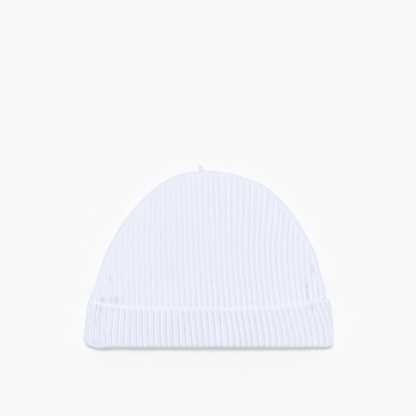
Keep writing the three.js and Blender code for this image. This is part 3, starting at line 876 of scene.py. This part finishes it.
def make_overlock():
    """The binding thread: an ellipse round the strip's free edge, once for each stitch along the seam."""
    coarse = outline_point(seam_angles(400), 0, 0)
    length = np.concatenate(((0,), np.cumsum(np.linalg.norm(np.diff(coarse, axis=0), axis=1))))
    turns = int(length[-1] / STITCH_LENGTH)
    along = np.linspace(*BINDING_SPAN, turns * BINDING_STEPS)
    angle = np.interp(along * length[-1], length, seam_angles(400))
    turn = 2 * np.pi * turns * along
    middle, half, high = BINDING
    path = outline_point(angle, middle + half * np.cos(turn), high * np.sin(turn))
    points, faces = tube(path, THREAD / 2, BINDING_SIDES)
    round_it = np.tile(np.arange(BINDING_SIDES) / BINDING_SIDES, (len(path), 1))
    stitches = np.stack((round_it, np.repeat(along[:, None] * BINDING_TWIST, BINDING_SIDES, 1)), -1)
    plain = np.zeros(points.shape[:2])
    return make_piece("overlock_thread", points, faces, stitches, plain, plain)


seam_allowance = make_allowance()
overlock_thread = make_overlock()

# %% [markdown]
# Where the overlock machine runs off the cloth it leaves a short chain of thread. Here it is folded back
# into one narrow loop at the crown's top, leaning left, and sagging a little. Two plies twist round each
# other, which a tube shows when its radius is r (1 + 0.22 cos 2(a - twist)) round its axis.

# %% Thread chain at the top
CHAIN_ACROSS = -0.042
CHAIN_LENGTH = 5.0 * MM
CHAIN_WIDTH = 2.0 * MM
CHAIN_THREAD = 0.68 * MM
CHAIN_LEAN = np.radians(30)
CHAIN_SAG = 1.2 * MM
CHAIN_START = 0.2 * MM  # how far past the seam its foot lies
CHAIN_APART = 0.2 * MM  # how far one side lies above its middle, and the other below
CHAIN_TWIST = 60
PLY_TURNS = 9
PLY_BULGE = 0.22
CHAIN_SIDES = 14


def make_chain():
    """One open loop: up the left side, round the tip and down the right side."""
    t = np.linspace(0, 1, 140)
    along = CHAIN_LENGTH * np.sin(np.pi * t) ** 0.75
    aside = -CHAIN_WIDTH / 2 * np.cos(np.pi * t) * (0.62 + 0.38 * np.sin(np.pi * t) ** 0.5)
    foot_x = CHAIN_ACROSS * half_width
    foot_y = float(crossing(lambda y: reach(foot_x, y), CROWN_HEIGHT / 2, 1.05 * CROWN_HEIGHT))
    x = foot_x + aside * np.cos(CHAIN_LEAN) - along * np.sin(CHAIN_LEAN)
    y = foot_y + CHAIN_START + aside * np.sin(CHAIN_LEAN) + along * np.cos(CHAIN_LEAN)
    z = seam_levels[0] - CHAIN_SAG * (along / CHAIN_LENGTH) ** 2 + CHAIN_APART * np.cos(np.pi * t)
    around = np.linspace(0, 2 * np.pi, CHAIN_SIDES + 1)[:-1]
    plies = 1 + PLY_BULGE * np.cos(2 * (around - 2 * np.pi * PLY_TURNS * t[:, None]))
    points, faces = tube(np.stack((x, y, z), -1), CHAIN_THREAD / 2 * plies, CHAIN_SIDES)
    twist = np.repeat(t[:, None] * CHAIN_TWIST, CHAIN_SIDES, 1)
    stitches = np.stack((np.tile(around, (len(t), 1)), twist), -1)
    plain = np.zeros(points.shape[:2])
    return make_piece("thread_chain", points, faces, stitches, plain, plain)


thread_chain = make_chain()

# %% [markdown]
# The finish of the cloth: white cotton with the faint blue of a brightener. The stitch map draws the knit.
# Each column of stitches is two rows of slanting strands that meet in a V, and the bump is highest along
# each strand's middle, with painted shade in the gaps between strands. Fine noise gives the fibres, slow
# noise gives the colour its unevenness, and the two tones on the points put a painted highlight on the crests
# of the ribs and painted shade in the grooves and creases, in patches. A little sheen gives the soft bloom
# that cotton has at grazing light.

# %% Knit finish


class Nodes:
    """Short calls for a material's nodes."""

    def __init__(self, name):
        self.material = bpy.data.materials.new(name)
        self.material.use_nodes = True
        self.tree = self.material.node_tree
        self.shader = self.tree.nodes["Principled BSDF"]

    def add(self, kind, **settings):
        node = self.tree.nodes.new(kind)
        for key, value in settings.items():
            setattr(node, key, value)
        return node

    def link(self, out, into):
        self.tree.links.new(out, into)

    def feed(self, socket, value):
        if isinstance(value, bpy.types.NodeSocket):
            self.link(value, socket)
        else:
            socket.default_value = value

    def math(self, operation, a, b=0.0, clamp=False):
        node = self.add("ShaderNodeMath", operation=operation, use_clamp=clamp)
        self.feed(node.inputs[0], a)
        self.feed(node.inputs[1], b)
        return node.outputs[0]

    def mix(self, part, low, high):
        node = self.add("ShaderNodeMix", data_type="RGBA")
        self.feed(node.inputs["Factor"], part)
        self.feed(node.inputs["A"], low)
        self.feed(node.inputs["B"], high)
        return node.outputs["Result"]

    def noise(self, scale, detail=2.0, coordinates=None):
        node = self.add("ShaderNodeTexNoise")
        node.inputs["Scale"].default_value = scale
        node.inputs["Detail"].default_value = detail
        where = coordinates or self.add("ShaderNodeTexCoord").outputs["Object"]
        self.link(where, node.inputs["Vector"])
        return node.outputs["Fac"]


def stitch_height(nodes):
    """Knit height: sqrt(1 - m^2) (0.55 + 0.45 (1 - w^2)), with m across a leg and w across a strand."""
    mapped = nodes.add("ShaderNodeSeparateXYZ")
    nodes.link(nodes.add("ShaderNodeUVMap", uv_map="stitches").outputs["UV"], mapped.inputs[0])
    across, up = mapped.outputs[0], mapped.outputs[1]
    centred = nodes.math("SUBTRACT", nodes.math("FRACT", across), 0.5)
    aside = nodes.math("MULTIPLY", nodes.math("ABSOLUTE", centred), 2.0)
    slanted = nodes.math("FRACT", nodes.math("ADD", up, nodes.math("MULTIPLY", aside, 0.5)))
    w = nodes.math("MULTIPLY", nodes.math("ABSOLUTE", nodes.math("SUBTRACT", slanted, 0.5)), 2.0)
    strand = nodes.math("SUBTRACT", 1.0, nodes.math("MULTIPLY", w, w))
    middle = nodes.math("SUBTRACT", nodes.math("MULTIPLY", aside, 2.0), 1.0)
    leg = nodes.math("SUBTRACT", 1.0, nodes.math("MULTIPLY", middle, middle))
    rounded = nodes.math("POWER", leg, 0.5)
    weight = nodes.math("ADD", nodes.math("MULTIPLY", strand, 0.45), 0.55)
    return nodes.math("MULTIPLY", rounded, weight)


PLAIN_WHITE = ((0.84, 0.86, 0.96, 1), (0.87, 0.89, 0.98, 1))  # between these two, in blotches
# colour of the painted highlight on crests, ridges and the cuff's edge
CREST_HIGHLIGHT = (0.95, 0.965, 1.0, 1)
# colour of the painted shade in grooves, on the lower columns and in creases
SHADED_WHITE = (0.66, 0.68, 0.80, 1)
GAP_SHADE = (0.70, 0.74, 0.90, 1)  # painted shade in the gaps between strands
GAP_SHADE_SHARE = 0.16
FIBRES, BLOTCHES, HIGHLIGHT_PATCHES, SHADED_PATCHES = 5200, 55, 150, 190  # grains of noise for each metre; the last two break the painted highlight and painted shade into patches
KNIT_BUMP = (0.55, 0.12 * MM)  # strength and height


def knit_finish():
    """The ribbed cotton of the panels and the cuff."""
    nodes = Nodes("white_rib_knit")
    height = stitch_height(nodes)
    fibres = nodes.noise(FIBRES, 3.0)
    blotches = nodes.noise(BLOTCHES, 3.0)
    painted_shade = nodes.add("ShaderNodeAttribute", attribute_name="painted_shade").outputs["Fac"]
    painted_highlight = nodes.add("ShaderNodeAttribute", attribute_name="painted_highlight").outputs["Fac"]
    plain = nodes.mix(blotches, *PLAIN_WHITE)
    # painted highlight on the crests, ridges and the cuff's edge, in patches
    patchy_highlight = nodes.math("MULTIPLY", painted_highlight, nodes.math("ADD", nodes.noise(HIGHLIGHT_PATCHES, 3.0), 0.25))
    lit = nodes.mix(patchy_highlight, plain, CREST_HIGHLIGHT)
    # painted shade in the grooves and creases, in patches
    patchy = nodes.math("ADD", 0.25, nodes.math("MULTIPLY", nodes.noise(SHADED_PATCHES), 0.75))
    shaded = nodes.mix(nodes.math("MULTIPLY", painted_shade, patchy), lit, SHADED_WHITE)
    # painted shade in the gaps between strands, where the stitch bump is low
    gap_shade = nodes.math("MULTIPLY", nodes.math("SUBTRACT", 1.0, height), GAP_SHADE_SHARE)
    nodes.link(nodes.mix(gap_shade, shaded, GAP_SHADE), nodes.shader.inputs["Base Color"])
    relief = nodes.math("ADD", nodes.math("MULTIPLY", height, 0.8), nodes.math("MULTIPLY", fibres, 0.35))
    bump = nodes.add("ShaderNodeBump")
    bump.inputs["Strength"].default_value = KNIT_BUMP[0]
    bump.inputs["Distance"].default_value = KNIT_BUMP[1]
    nodes.link(relief, bump.inputs["Height"])
    nodes.link(bump.outputs["Normal"], nodes.shader.inputs["Normal"])
    rough = nodes.math("ADD", 0.86, nodes.math("MULTIPLY", blotches, 0.12))
    nodes.link(rough, nodes.shader.inputs["Roughness"])
    nodes.shader.inputs["Specular IOR Level"].default_value = 0.25
    nodes.shader.inputs["Sheen Weight"].default_value = 0.3
    nodes.shader.inputs["Sheen Roughness"].default_value = 0.45
    return nodes.material


ribbed_cotton = knit_finish()
print("finish:", ribbed_cotton.name, "with", len(ribbed_cotton.node_tree.nodes), "nodes")

# %% [markdown]
# The thread is spun polyester: smoother than the knit, without its blue, with a fine slanting twist along
# its length whose grooves carry painted shade, and a little sheen from its loose fibres.

# %% Thread finish


def thread_finish():
    """Twisted sewing thread: slanting lines of painted shade in the twist's grooves, and slow changes of its
    grey.
    """
    nodes = Nodes("twisted_thread")
    mapped = nodes.add("ShaderNodeSeparateXYZ")
    nodes.link(nodes.add("ShaderNodeUVMap", uv_map="stitches").outputs["UV"], mapped.inputs[0])
    slant = nodes.math("ADD", nodes.math("MULTIPLY", mapped.outputs[0], 2.0), mapped.outputs[1])
    twist = nodes.math("SINE", slant)
    # the slanting lines are painted shade in the twist's grooves, where its bump is low; the noise is the
    # grey's own unevenness
    tone = nodes.math("ADD", nodes.math("MULTIPLY", twist, 0.25), nodes.noise(900.0))
    colour = nodes.mix(tone, (0.90, 0.90, 0.91, 1), (0.97, 0.97, 0.98, 1))
    nodes.link(colour, nodes.shader.inputs["Base Color"])
    bump = nodes.add("ShaderNodeBump")
    bump.inputs["Strength"].default_value = 0.5
    bump.inputs["Distance"].default_value = 0.05 * MM
    nodes.link(twist, bump.inputs["Height"])
    nodes.link(bump.outputs["Normal"], nodes.shader.inputs["Normal"])
    nodes.shader.inputs["Roughness"].default_value = 0.7
    nodes.shader.inputs["Sheen Weight"].default_value = 0.4
    nodes.shader.inputs["Sheen Roughness"].default_value = 0.4
    return nodes.material


sewing_thread = thread_finish()
for piece in (crown_front, crown_back, turned_cuff, seam_allowance):
    piece.data.materials.append(ribbed_cotton)
for piece in (overlock_thread, thread_chain):
    piece.data.materials.append(sewing_thread)

# %% [markdown]
# The stage is a plain white table, so pale that the picture's ground is almost pure white. Half of the
# light is an even sky, as from a white room. One softbox hangs straight above the cap, and another one a
# little toward the crown's top: it draws the short shadow under the brim.

# %% Table and light
TABLE_SIZE = 6.0
TABLE_TOP = -0.02 * MM  # a hair under the cap, so that the two don't share a face
LIGHTS = {
    # name: (share of the table's light, tilt from straight above, turn from the right, size of the lamp)
    "ceiling_softbox": (0.15, 0, 90, 10),
    "top_softbox": (0.36, 14, 92, 12),
}
SKY_SHARE = 0.49
WHITE = 1.01  # the light that the table gets in all

table = bpy.data.objects.new("table", bpy.data.meshes.new("table"))
half = TABLE_SIZE / 2
corners = [(x, y, TABLE_TOP) for x, y in ((-half, -half), (half, -half), (half, half), (-half, half))]
table.data.from_pydata(corners, [], [(0, 1, 2, 3)])
bpy.context.scene.collection.objects.link(table)
surface = Nodes("white_table")
surface.shader.inputs["Base Color"].default_value = (0.93, 0.93, 0.93, 1)
surface.shader.inputs["Roughness"].default_value = 0.9
surface.shader.inputs["Specular IOR Level"].default_value = 0.0
table.data.materials.append(surface.material)

for name, (part, tilt, turned, size) in LIGHTS.items():
    lamp = bpy.data.objects.new(name, bpy.data.lights.new(name, "SUN"))
    lamp.data.energy = WHITE * part * np.pi / np.cos(np.radians(tilt))
    lamp.data.angle = np.radians(size)
    lamp.rotation_euler = (0, np.radians(tilt), np.radians(turned))
    bpy.context.scene.collection.objects.link(lamp)

world = bpy.data.worlds.new("sky")
world.use_nodes = True
world.node_tree.nodes["Background"].inputs["Color"].default_value = (1, 1, 1, 1)
world.node_tree.nodes["Background"].inputs["Strength"].default_value = WHITE * SKY_SHARE
bpy.context.scene.world = world
bpy.context.scene.view_settings.view_transform = "Standard"

# %% [markdown]
# Last, each piece is tied to the frame: it rides on the cap's one body, and the solid that it replaces is
# hidden.

# %% Tie the pieces to the frame
STANDS_FOR = {
    crown_front: ("front_panel", "ribbed_cotton"),
    crown_back: ("back_panel", "ribbed_cotton"),
    turned_cuff: ("cuff", "ribbed_cotton"),
    seam_allowance: ("crown_seam", "ribbed_cotton"),
    overlock_thread: (None, "sewing_thread"),
    thread_chain: ("seam_tail", "sewing_thread"),
}
for piece, (node, slot) in STANDS_FOR.items():
    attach(piece, "root")
    if node:
        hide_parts(node)
